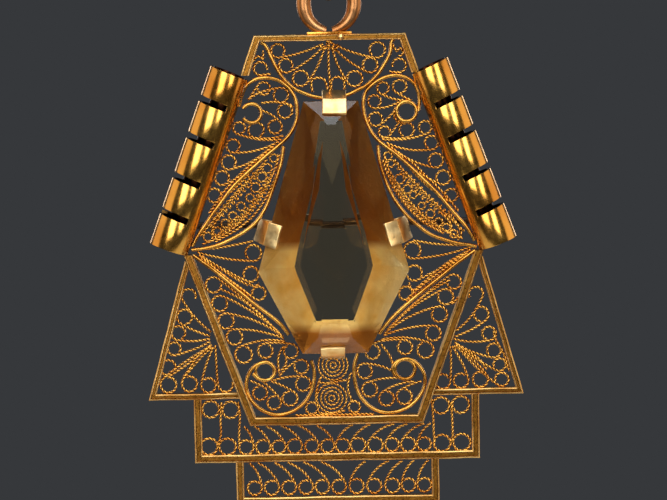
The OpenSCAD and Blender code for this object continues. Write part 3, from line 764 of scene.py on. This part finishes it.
# Bold plain wires: a rounded flat section, standing on its edge
boldLook = {"halfWidth": 0.2, "halfDepth": 0.36, "height": 0.375, "step": 0.25, "wander": 0.05}
boldProfile = profileCurve(
    "boldProfile",
    [
        (
            boldLook["halfWidth"] * math.copysign(abs(math.cos(a)) ** 0.7, math.cos(a)),
            boldLook["halfDepth"] * math.copysign(abs(math.sin(a)) ** 0.7, math.sin(a)),
        )
        for a in (math.radians(30 * k) for k in range(12))
    ],
)


def plainWire(points, closed=False, size=1.0, height=None, seed=0.0):
    even, total = evenPath(points, boldLook["step"], closed)
    out, radius = [], []
    for p in even:
        sway = noise.noise_vector(Vector((p.x * 0.35 + seed, p.y * 0.35, seed))) * boldLook["wander"]
        out.append(Vector((p.x + sway.x, p.y + sway.y, p.z + (boldLook["height"] if height is None else height))))
        radius.append(size * (1 + 0.08 * noise.noise(Vector((p.x * 1.3, p.y * 1.3, seed + 5)))))
    return {"points": out, "tilt": [0.0] * len(out), "radius": radius, "closed": closed}


def boldPiece(node, wires):
    mesh = sweepWires(node, wires, boldProfile)
    print("bold wire", node, len(mesh.polygons))
    return addPiece(node, mesh, boldGilt, sharpAngle=60)


boldPiece(
    "fan_arch",
    [
        plainWire(
            [
                (-7.3, 22.4), (-6.8, 22.0), (-6.3, 20.9), (-5.7, 19.6), (-4.9, 18.4), (-3.8, 17.4),
                (-2.8, 16.9), (-1.7, 16.5), (0, 16.25),
            ]
            + [(1.7, 16.6), (2.8, 17.1), (3.8, 17.6), (4.9, 18.6), (5.7, 19.7), (6.4, 21), (6.6, 22.2), (6.9, 22.5)]
        )
    ],
)
boldPiece(
    "scroll_wire_right",
    [
        plainWire(
            [
                (9.35, 14.8), (9.45, 16), (9.25, 17), (8.8, 17.8), (8, 18.4), (7, 18.6), (6.1, 18.5),
                (5.1, 18.1), (4.3, 17.5), (3.75, 16.9), (3.5, 16),
            ]
            + [
                (3.5, 15.2), (3.6, 14.4), (3.9, 13.4), (4.4, 12.4), (5.2, 11.5), (6.5, 10.5), (8, 9.2),
                (9.5, 7.7), (11.5, 5.6), (13.3, 3.4), (14.3, 2.2), (15.1, 0.8),
            ],
            seed=3,
        ),
        plainWire(ringPath((8.05, 14.75), 1.05), closed=True, seed=4),
    ],
)
boldPiece(
    "scroll_wire_left",
    [
        plainWire(
            [(-9.75, 15.6), (-9.5, 16.6), (-9, 17.7), (-8.3, 18.3), (-7.5, 18.6)]
            + [
                (-6.5, 18.6), (-5.5, 18.3), (-4.7, 17.7), (-4.05, 16.9), (-3.7, 16), (-3.6, 15), (-3.7, 14),
                (-4.1, 13), (-4.8, 12.1), (-6.5, 10.7), (-8, 9.4),
            ]
            + [(-9.5, 8.1), (-11, 6.6), (-12.3, 4.9), (-13.5, 3.2), (-14.5, 1.8), (-15.1, 0.7)],
            seed=5,
        ),
        plainWire(ringPath((-8.45, 14.85), 1.02, start=-150, sweep=300), seed=15),
    ],
)
boldPiece(
    "leaf_wire_right",
    [
        plainWire(
            [
                (4.95, 11.2), (5.05, 9.8), (5.25, 8.8), (5.7, 7.4), (6.3, 6), (7, 4.8), (8, 3.5),
                (9.1, 2.5), (10.3, 1.6), (11.7, 1), (13.2, 0.55), (14.5, 0.35), (15.3, 0.15),
            ],
            seed=6,
        )
    ],
)
boldPiece(
    "leaf_wire_left",
    [
        plainWire(
            [
                (-5.1, 11.3), (-5.4, 9.5), (-5.9, 7.9), (-6.5, 6.3), (-7.2, 4.7), (-8.2, 3.2), (-9.5, 2.2),
                (-11, 1.4), (-12.5, 0.75), (-14, 0.45), (-15.2, 0.35),
            ],
            seed=7,
        )
    ],
)
boldPiece(
    "strut_right",
    [plainWire([(15.1, -0.25), (13, -1.75), (11, -3.35), (9, -4.9), (7.5, -6.1), (6, -7.5), (4.7, -9.1)], seed=8)],
)
boldPiece(
    "strut_left",
    [
        plainWire(
            [
                (-15, -0.2), (-13, -1.75), (-12, -2.6), (-10.5, -3.9), (-9, -5.2), (-7.8, -6.2), (-6, -7.7),
                (-5, -9),
            ],
            seed=9,
        )
    ],
)
boldPiece(
    "volute_wire_right",
    [
        plainWire(
            [
                (6.35, -13.6), (6.1, -12.9), (6.35, -12.3), (6.95, -11.95), (7.7, -11.85), (8.5, -12.15),
                (9.15, -12.9), (9.5, -13.8), (9.4, -15), (8.7, -16.2), (7.4, -17.2),
            ]
            + [(5.6, -17.65), (3.9, -17.15), (2.7, -15.95), (2.1, -14.6), (1.95, -13.2), (2.05, -12.2), (2.4, -11.1)],
            seed=10,
        ),
        plainWire(ringPath((7.4, -12.95), 1.08), closed=True, seed=11),
    ],
)
boldPiece(
    "volute_wire_left",
    [
        plainWire(
            [
                (-8.9, -13.1), (-8.3, -13.65), (-7.6, -13.85), (-6.9, -13.6), (-6.5, -12.9), (-6.75, -12.3),
                (-7.3, -11.9), (-8.1, -12.0), (-8.9, -12.5), (-9.45, -13.4), (-9.6, -14.6),
            ]
            + [
                (-9.2, -15.9), (-8.3, -16.9), (-7.1, -17.5), (-6, -17.6), (-4.7, -17.25), (-3.6, -16.5),
                (-2.85, -15.5), (-2.4, -14.3), (-2.3, -13), (-2.6, -11.8),
            ],
            seed=12,
        ),
        plainWire(ringPath((-7.6, -12.9), 1.0), closed=True, size=0.8, seed=13),
    ],
)

# Frames: strips with a raised rib along each edge and a shallow trough between them
ribLook = {"chamfer": 0.08, "rib": 0.07, "slope": 0.07, "trough": 0.2}


def stripFrame(outline, width, front, back, rise):
    bm = bmesh.new()
    face = bm.faces.new([bm.verts.new((x, y, front + rise - ribLook["chamfer"])) for x, y in outline])
    bm.normal_update()
    if face.normal.z < 0:
        face.normal_flip()
    outer = list(face.verts)
    flat = width - 2 * (ribLook["chamfer"] + ribLook["rib"] + ribLook["slope"])
    for thickness, depth in (
        (ribLook["chamfer"], ribLook["chamfer"]),
        (ribLook["rib"], 0),
        (ribLook["slope"], -ribLook["trough"]),
        (flat, 0),
        (ribLook["slope"], ribLook["trough"]),
        (ribLook["rib"], 0),
        (ribLook["chamfer"], -ribLook["chamfer"]),
    ):
        bmesh.ops.inset_region(
            bm, faces=[face], thickness=thickness, depth=depth, use_even_offset=True, use_boundary=True
        )
    bmesh.ops.delete(bm, geom=[face], context="FACES")
    # faces down in the trough are marked for painted shade
    inside = bm.faces.layers.int.new("inside")
    for strip in bm.faces:
        strip[inside] = 1 if min(v.co.z for v in strip.verts) < front + rise - ribLook["trough"] * 0.9 else 0
    rims = [e for e in bm.edges if e.is_boundary]
    made = bmesh.ops.extrude_edge_only(bm, edges=rims)
    backVerts = [v for v in made["geom"] if isinstance(v, bmesh.types.BMVert)]
    for v in backVerts:
        v.co.z = back
    backEdges = [e for e in made["geom"] if isinstance(e, bmesh.types.BMEdge) and e.is_boundary]
    bmesh.ops.bridge_loops(bm, edges=backEdges)
    bmesh.ops.recalc_face_normals(bm, faces=bm.faces)
    return bm


def slitBm(bm, point, normal, clear=False):
    everything = bm.verts[:] + bm.edges[:] + bm.faces[:]
    bmesh.ops.bisect_plane(bm, geom=everything, plane_co=point, plane_no=normal, clear_outer=clear)


def cutBm(bm, point, normal):
    slitBm(bm, point, normal, clear=True)
    bmesh.ops.holes_fill(bm, edges=[e for e in bm.edges if e.is_boundary], sides=0)


def sharpEdges(bm, angle):
    return [e for e in bm.edges if e.is_manifold and e.calc_face_angle() > math.radians(angle)]


def softenEdges(bm, edges, width, segments):
    settings = {"offset_type": "OFFSET", "profile": 0.5, "affect": "EDGES", "material": -1, "clamp_overlap": True}
    bmesh.ops.bevel(bm, geom=edges, offset=width, segments=segments, **settings)


def roughen(bm, spacing, amount, seed):
    low = Vector((min(v.co[i] for v in bm.verts) for i in range(3)))
    high = Vector((max(v.co[i] for v in bm.verts) for i in range(3)))
    for axis in (0, 1):
        at = math.floor(low[axis] / spacing) * spacing
        while at < high[axis]:
            point, normal = Vector((0, 0, 0)), Vector((0, 0, 0))
            point[axis], normal[axis] = at + 0.013, 1
            slitBm(bm, point, normal)
            at += spacing
    for v in bm.verts:
        sway = noise.noise_vector(v.co * 0.45 + Vector((seed, 0, 0))) * amount
        v.co += Vector((sway.x, sway.y, sway.z * 0.6))


def framePiece(node, bm, seed, spacing=0.9):
    roughen(bm, spacing, 0.05, seed)
    mesh = meshFromBm(bm, node)
    print("frame", node, len(mesh.polygons))
    return addPiece(node, mesh, frameGilt, sharpAngle=28)


plateLook = {
    "outline": [(-8.05, 23.1), (8.05, 23.1), (16.1, 0), (9.3, -18.7), (-9.3, -18.7), (-16.1, 0)],
    "width": 0.85,
    "front": 0.9,
    "back": -0.6,
    "rise": 0.2,
    "topStrip": 0.62,
    "topReach": 1.3,
    "legEnd": 18.9,
}


def plateBm():
    look = plateLook
    return stripFrame(look["outline"], look["width"], look["front"], look["back"], look["rise"])


topFrame = plateBm()
cutBm(topFrame, (0, plateLook["legEnd"], 0), (0, -1, 0))
for v in topFrame.verts:  # the top strip is narrower than the legs
    edge = plateLook["outline"][0][1]
    if v.co.y > edge - plateLook["topReach"]:
        v.co.y = edge - (edge - v.co.y) * plateLook["topStrip"] / plateLook["width"]
framePiece("frame_top", topFrame, 1.0)
lowerFrame = plateBm()
cutBm(lowerFrame, (0, -0.2, 0), (0, 1, 0))
framePiece("frame_lower", lowerFrame, 2.0)

wingLook = {
    "outline": [(14.96, 2.6), (20.1, -15.8), (9.2, -15.8)],
    "top": -0.9,
    "width": 0.62,
    "front": 0.55,
    "back": -0.6,
    "rise": 0.12,
}
plateEdge = (Vector((16.1, 0, 0)), Vector((9.3, -18.7, 0)))
for side in (1, -1):
    wing = stripFrame(
        [(side * x, y) for x, y in wingLook["outline"]],
        wingLook["width"],
        wingLook["front"],
        wingLook["back"],
        wingLook["rise"],
    )
    along = plateEdge[1] - plateEdge[0]
    inward = Vector((along.y, -along.x, 0)).normalized()
    cutBm(wing, (side * plateEdge[0].x, 0, 0), (side * inward.x, inward.y, 0))
    cutBm(wing, (0, wingLook["top"], 0), (0, 1, 0))
    framePiece("wing_frame_right" if side > 0 else "wing_frame_left", wing, 3.0 + side)

for node, half, top, bottom, width in (
    ("tier_frame_upper", 15.3, -15.8, -22.7, 0.8), ("tier_frame_lower", 10.9, -22.7, -27.4, 0.8)
):
    tier = stripFrame(
        [(-half, top + 5), (half, top + 5), (half, bottom), (-half, bottom)],
        width,
        wingLook["front"],
        wingLook["back"],
        0.15,
    )
    cutBm(tier, (0, top, 0), (0, 1, 0))
    framePiece(node, tier, half)

# Barrels: thin tubes sawn four times, open at both ends
barrelLook = {
    "radius": 2.125, "wall": 0.3, "length": 20.0, "lean": 20.15, "centre": (14.15, 9.9, 0.6), "slot": 0.7,
    "turn": 28.0, "sides": 72, "edge": 0.05, "topSpare": 1.0,
}
barrelCuts = {
    1: {"slots": (-6.0, -2.0, 2.35, 6.3), "slant": -5.0, "top": 10.35},
    -1: {"slots": (-6.35, -2.3, 2.2, 6.35), "slant": -3.0, "top": 9.95},
}


def barrelBm(side):
    look, cuts = barrelLook, barrelCuts[side]
    bm = bmesh.new()
    bmesh.ops.create_cone(
        bm, cap_ends=False, segments=look["sides"], radius1=look["radius"], radius2=look["radius"],
        depth=look["length"],
    )
    for v in bm.verts:
        if v.co.z > 0:
            v.co.z += look["topSpare"]
    facing = Vector((side * math.cos(math.radians(look["turn"])), math.sin(math.radians(look["turn"])), 0))
    bmesh.ops.rotate(bm, verts=bm.verts, matrix=Matrix.Rotation(math.atan2(facing.y, facing.x), 3, "Z"))
    across = Vector((side * math.sin(math.radians(cuts["slant"])), 0, math.cos(math.radians(cuts["slant"]))))
    slitBm(bm, (0, 0, cuts["top"]), across, clear=True)
    for at in cuts["slots"]:
        for offset in (-look["slot"] / 2, look["slot"] / 2):
            slitBm(bm, Vector((0, 0, at)) + across * offset, across)
    gone = []
    for face in bm.faces:
        middle = face.calc_center_median()
        inSlot = any(abs((middle - Vector((0, 0, at))).dot(across)) < look["slot"] / 2 for at in cuts["slots"])
        if inSlot and middle.dot(facing) > 0:
            gone.append(face)
    bmesh.ops.delete(bm, geom=gone, context="FACES")
    bmesh.ops.recalc_face_normals(bm, faces=bm.faces)
    bmesh.ops.solidify(bm, geom=bm.faces[:], thickness=look["wall"])
    # the tube's inner faces are marked for painted shade
    paintedShadeLayer = bm.faces.layers.int.new("inside")
    for face in bm.faces:
        middle = face.calc_center_median()
        face[paintedShadeLayer] = 1 if math.hypot(middle.x, middle.y) < look["radius"] - look["wall"] * 0.5 else 0
    softenEdges(bm, sharpEdges(bm, 50), look["edge"], 2)
    bmesh.ops.rotate(bm, verts=bm.verts, matrix=Matrix.Rotation(math.radians(-90), 3, "X"))
    return bm


for side, node in ((1, "barrel_right"), (-1, "barrel_left")):
    barrel = barrelBm(side)
    # the tube now lies along y with what faced +y turned to the back, so it is turned half round its own length
    bmesh.ops.transform(barrel, matrix=Matrix.Diagonal((1, 1, -1, 1)), verts=barrel.verts)
    bmesh.ops.reverse_faces(barrel, faces=barrel.faces)
    bmesh.ops.rotate(
        barrel, verts=barrel.verts, matrix=Matrix.Rotation(math.radians(side * barrelLook["lean"]), 3, "Z")
    )
    x, y, z = barrelLook["centre"]
    bmesh.ops.translate(barrel, verts=barrel.verts, vec=(side * x, y, z))
    mesh = meshFromBm(barrel, node)
    print("barrel", node, len(mesh.polygons))
    addPiece(node, mesh, barrelGilt, sharpAngle=35)

# The stone: a block cut by one plane for each facet
stoneLook = {
    "girdle": [(-2.9, 16.05), (2.9, 16.05), (8.05, -2.1), (3.5, -10.95), (-3.5, -10.95), (-8.05, -2.1)],
    "step": [(-1.95, 14.6), (1.95, 14.6), (5.05, -1.85), (2.35, -9.1), (-2.35, -9.1), (-5.05, -1.85)],
    "table": [(-1.07, 13.7), (1.07, 13.7), (3.3, -1.6), (1.45, -7.5), (-1.45, -7.5), (-3.3, -1.6)],
    "girdleFront": 1.6,
    "girdleBack": 1.3,
    "stepHeight": 2.89,
    "tableHeight": 3.5,
    "keelHeight": -0.75,
    "keel": ((0, 7), (0, -2.6)),
    "edge": 0.03,
}


def facetThrough(bm, a, b, c, inside):
    normal = (b - a).cross(c - a).normalized()
    if normal.dot(inside - a) > 0:
        normal = -normal
    cutBm(bm, a, normal)


def stoneBm():
    look = stoneLook
    bm = bmesh.new()
    bmesh.ops.create_cube(bm, size=40)
    inside = Vector((0, 2, 0))
    girdle = [Vector((x, y, look["girdleFront"])) for x, y in look["girdle"]]
    lower = [Vector((x, y, look["girdleBack"])) for x, y in look["girdle"]]
    step = [Vector((x, y, look["stepHeight"])) for x, y in look["step"]]
    table = [Vector((x, y, look["tableHeight"])) for x, y in look["table"]]
    count = len(girdle)
    cutBm(bm, table[0], Vector((0, 0, 1)))
    cutBm(bm, Vector((0, 0, look["keelHeight"])), Vector((0, 0, -1)))
    for i in range(count):
        j = (i + 1) % count
        facetThrough(bm, girdle[i], girdle[j], lower[i], inside)
        facetThrough(bm, girdle[i], girdle[j], (step[i] + step[j]) / 2, inside)
        facetThrough(bm, step[i], step[j], (table[i] + table[j]) / 2, inside)
        middle = (lower[i] + lower[j]) / 2
        keel = [Vector((x, y, look["keelHeight"])) for x, y in look["keel"]]
        nearest = keel[0] if middle.y > look["table"][2][1] else keel[1]
        facetThrough(bm, lower[i], lower[j], nearest, inside)
    bmesh.ops.dissolve_limit(bm, angle_limit=math.radians(0.5), verts=bm.verts, edges=bm.edges)
    bmesh.ops.recalc_face_normals(bm, faces=bm.faces)
    softenEdges(bm, bm.edges[:], look["edge"], 1)
    return bm


stoneMesh = meshFromBm(stoneBm(), "citrine")
print("stone", len(stoneMesh.polygons))
addPiece("citrine", stoneMesh, citrineStone, sharpAngle=3)

# Prongs: straps that come up past the girdle and are pressed down over the crown
prongLook = {"width": 2.6, "wall": 0.36, "edge": 0.1, "wobble": 0.09}
prongPlaces = [
    ("prong_top", (0.38, 16.05), 90.0, 0.89, 1.4, 0.6),
    ("prong_bottom", (-0.3, -10.95), -90.0, 0.75, 0.85, 0.45),
    ("prong_left", (-6.89, 2), 164.15, 0.46, 1.3, 0.8),
    ("prong_right", (6.89, 2), 15.85, 0.46, 1.3, 0.8),
]
for node, place, angle, slope, pad, foot in prongPlaces:
    bm = bmesh.new()
    front = stoneLook["girdleFront"]
    line = [(-0.25, 0), (foot, 0), (0.04, front - 0.1), (-pad, front + slope * pad)]
    verts = [bm.verts.new((x, -prongLook["width"] / 2, z)) for x, z in line]
    edges = [bm.edges.new(pair) for pair in zip(verts, verts[1:])]
    made = bmesh.ops.extrude_edge_only(bm, edges=edges)
    moved = [v for v in made["geom"] if isinstance(v, bmesh.types.BMVert)]
    bmesh.ops.translate(bm, verts=moved, vec=(0, prongLook["width"], 0))
    bmesh.ops.subdivide_edges(
        bm, edges=[e for e in bm.edges if abs(e.verts[0].co.y - e.verts[1].co.y) > 1], cuts=5, use_grid_fill=True
    )
    bmesh.ops.recalc_face_normals(bm, faces=bm.faces)
    if sum(f.normal.z for f in bm.faces) < 0:
        bmesh.ops.reverse_faces(bm, faces=bm.faces)
    bmesh.ops.solidify(bm, geom=bm.faces[:], thickness=-prongLook["wall"])
    softenEdges(bm, sharpEdges(bm, 25), prongLook["edge"], 3)
    bmesh.ops.rotate(bm, verts=bm.verts, matrix=Matrix.Rotation(math.radians(angle), 3, "Z"))
    bmesh.ops.translate(bm, verts=bm.verts, vec=(place[0], place[1], 0))
    for v in bm.verts:
        v.co += noise.noise_vector(v.co * 0.9) * prongLook["wobble"]
    mesh = meshFromBm(bm, node)
    addPiece(node, mesh, prongGilt, sharpAngle=50)
print("prongs done")


def plainProfile(name, radius, sides):
    return profileCurve(
        name,
        [
            (radius * math.cos(2 * math.pi * k / sides), radius * math.sin(2 * math.pi * k / sides))
            for k in range(sides)
        ],
    )


# Suspension ring: thick at the top, thinning to two ends that meet on the top strip
ringLook = {
    "centre": (0, 26.4), "outer": 3.45, "wire": 0.775, "height": 0.15, "thin": 0.46, "gap": 7.0,
    "steps": 120, "taper": 0.2,
}
ringProfile = plainProfile("ringProfile", 1.0, 28)
sweepOf = 360 - 2 * ringLook["gap"]
points, radii = [], []
steps = ringLook["steps"]
for k in range(steps + 1):
    turn = math.radians(-90 + ringLook["gap"] + sweepOf * k / steps)
    fromEnd = min(k, steps - k) / steps
    wire = ringLook["thin"] + (ringLook["wire"] - ringLook["thin"]) * min(1.0, fromEnd / ringLook["taper"]) ** 0.8
    reach = ringLook["outer"] - wire
    x, y = ringLook["centre"]
    points.append(Vector((x + reach * math.cos(turn), y + reach * math.sin(turn), ringLook["height"])))
    radii.append(wire)
ringWires = [{"points": points, "tilt": [0.0] * len(points), "radius": radii, "closed": False}]
ringMesh = sweepWires("pendant_ring", ringWires, ringProfile)
addPiece("pendant_ring", ringMesh, ringGilt, sharpAngle=50)

# Bail: a plain round jump ring through the suspension ring
bailLow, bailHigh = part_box("bail")
bailCentre = (bailLow + bailHigh) / 2
bailLook = {"wire": 0.8, "radius": 3.0, "turns": 96, "sides": 24}
bm = bmesh.new()
verts, wire, sides = [], bailLook["wire"], bailLook["sides"]
for k in range(sides):
    a = 2 * math.pi * k / sides
    verts.append(bm.verts.new((wire * math.cos(a), bailLook["radius"] + wire * math.sin(a), 0)))
edges = [bm.edges.new((verts[k], verts[(k + 1) % sides])) for k in range(sides)]
bmesh.ops.spin(
    bm, geom=verts + edges, cent=(0, 0, 0), axis=(1, 0, 0), angle=2 * math.pi, steps=bailLook["turns"], use_merge=True
)
bmesh.ops.remove_doubles(bm, verts=bm.verts, dist=0.0005)
bmesh.ops.recalc_face_normals(bm, faces=bm.faces)
bailMesh = meshFromBm(bm, "bail", Matrix.Translation(bailCentre) @ Matrix.Diagonal((mm, mm, mm, 1)))
addPiece("bail", bailMesh, boldGilt, body="hanger", sharpAngle=50)


# A merged copy of a CAD node with its edges softened
def softenedCopy(node, material, width, body="brooch"):
    bm = bmesh.new()
    bm.from_mesh(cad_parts[node].data)
    bmesh.ops.remove_doubles(bm, verts=bm.verts, dist=0.0002 * mm)
    bmesh.ops.dissolve_limit(bm, angle_limit=math.radians(1), verts=bm.verts, edges=bm.edges)
    softenEdges(bm, sharpEdges(bm, 30), width * mm, 2)
    mesh = bpy.data.meshes.new(node)
    bm.to_mesh(mesh)
    bm.free()
    return addPiece(node, mesh, material, body=body)


softenedCopy("stone_gallery", seatGilt, 0.05)
softenedCopy("ring_seat", boldGilt, 0.08)
softenedCopy("solder_bead", prongGilt, 0.02)
softenedCopy("hinge_bracket", findingsGilt, 0.06)
softenedCopy("hinge_rivet", findingsGilt, 0.03)
softenedCopy("catch_housing", findingsGilt, 0.06)
softenedCopy("catch_lock", findingsGilt, 0.05, body="lock")
softenedCopy("pin_stem", pinSteel, 0.03, body="pin")
print("findings done")

# The stage: a grey studio backdrop and a small pale floor under the brooch
backdrop = bpy.data.worlds.new("studio")
backdrop.use_nodes = True
backdrop.node_tree.nodes["Background"].inputs["Color"].default_value = linear("#36383B")
backdrop.node_tree.nodes["Background"].inputs["Strength"].default_value = 1.0
bpy.context.scene.world = backdrop

floorLook = {"drop": 45.0, "radius": 60.0}
bm = bmesh.new()
bmesh.ops.create_circle(bm, cap_ends=True, segments=96, radius=floorLook["radius"] * mm)
floorMesh = bpy.data.meshes.new("floor")
bm.to_mesh(floorMesh)
bm.free()
floorMesh.transform(Matrix.Translation(waist + Vector((0, 0, -floorLook["drop"] * mm))))
floorMaterial, tree = startMaterial("pale card")
shader = addNode(tree, "ShaderNodeBsdfPrincipled", {"Base Color": linear("#D8D8D4"), "Roughness": 0.8})
addNode(tree, "ShaderNodeOutputMaterial", {"Surface": shader.outputs[0]})
floorMesh.materials.append(floorMaterial)
floor = bpy.data.objects.new("floor", floorMesh)
bpy.context.scene.collection.objects.link(floor)


# A rectangular soft box facing the waist: bearing and height are degrees from straight ahead of the brooch
def softBox(name, bearing, height, distance, size, power, colour="#FFFFFF"):
    data = bpy.data.lights.new(name, "AREA")
    data.shape = "RECTANGLE"
    data.size, data.size_y = size[0] * mm, size[1] * mm
    data.energy = power
    data.color = linear(colour)[:3]
    light = bpy.data.objects.new(name, data)
    across, up = math.radians(bearing), math.radians(height)
    light.location = waist + Vector(
        (math.sin(across) * math.cos(up), -math.cos(across) * math.cos(up), math.sin(up))
    ) * distance * mm
    light.rotation_mode = "QUATERNION"
    light.rotation_quaternion = (waist - light.location).to_track_quat("-Z", "Y")
    bpy.context.scene.collection.objects.link(light)


softBox("left window", -19, 18, 380, (200, 300), 0.85)
softBox("right window", 28, 18, 380, (125, 300), 0.62)
softBox("left wall", -95, 10, 340, (320, 340), 0.34, "#FFE4C4")
softBox("right wall", 95, 10, 340, (320, 340), 0.36, "#FFE4C4")
softBox("left edge", -150, 15, 340, (60, 260), 0.14)
softBox("right edge", 150, 15, 340, (60, 260), 0.14)
softBox("overhead", 0, 74, 340, (340, 240), 0.8)

cameraLook = {"distance": 400.0, "fieldWidth": 71.4, "elevation": 6.0, "roll": 1.1}
cameraData = bpy.data.cameras.new("camera")
cameraData.sensor_width = 36
cameraData.lens = 36 * cameraLook["distance"] / cameraLook["fieldWidth"]
cameraData.clip_start, cameraData.clip_end = 0.01, 10
camera = bpy.data.objects.new("camera", cameraData)
rise = math.radians(cameraLook["elevation"])
back = Vector((0, -math.cos(rise), math.sin(rise)))
camera.location = waist + back * cameraLook["distance"] * mm
camera.rotation_mode = "QUATERNION"
camera.rotation_quaternion = (-back).to_track_quat("-Z", "Y") @ Matrix.Rotation(
    math.radians(-cameraLook["roll"]), 3, "Z"
).to_quaternion()
bpy.context.scene.collection.objects.link(camera)
bpy.context.scene.camera = camera
bpy.context.scene.view_settings.view_transform = "Standard"

for helper in (ropeProfile, boldProfile, ringProfile):
    bpy.data.objects.remove(helper)
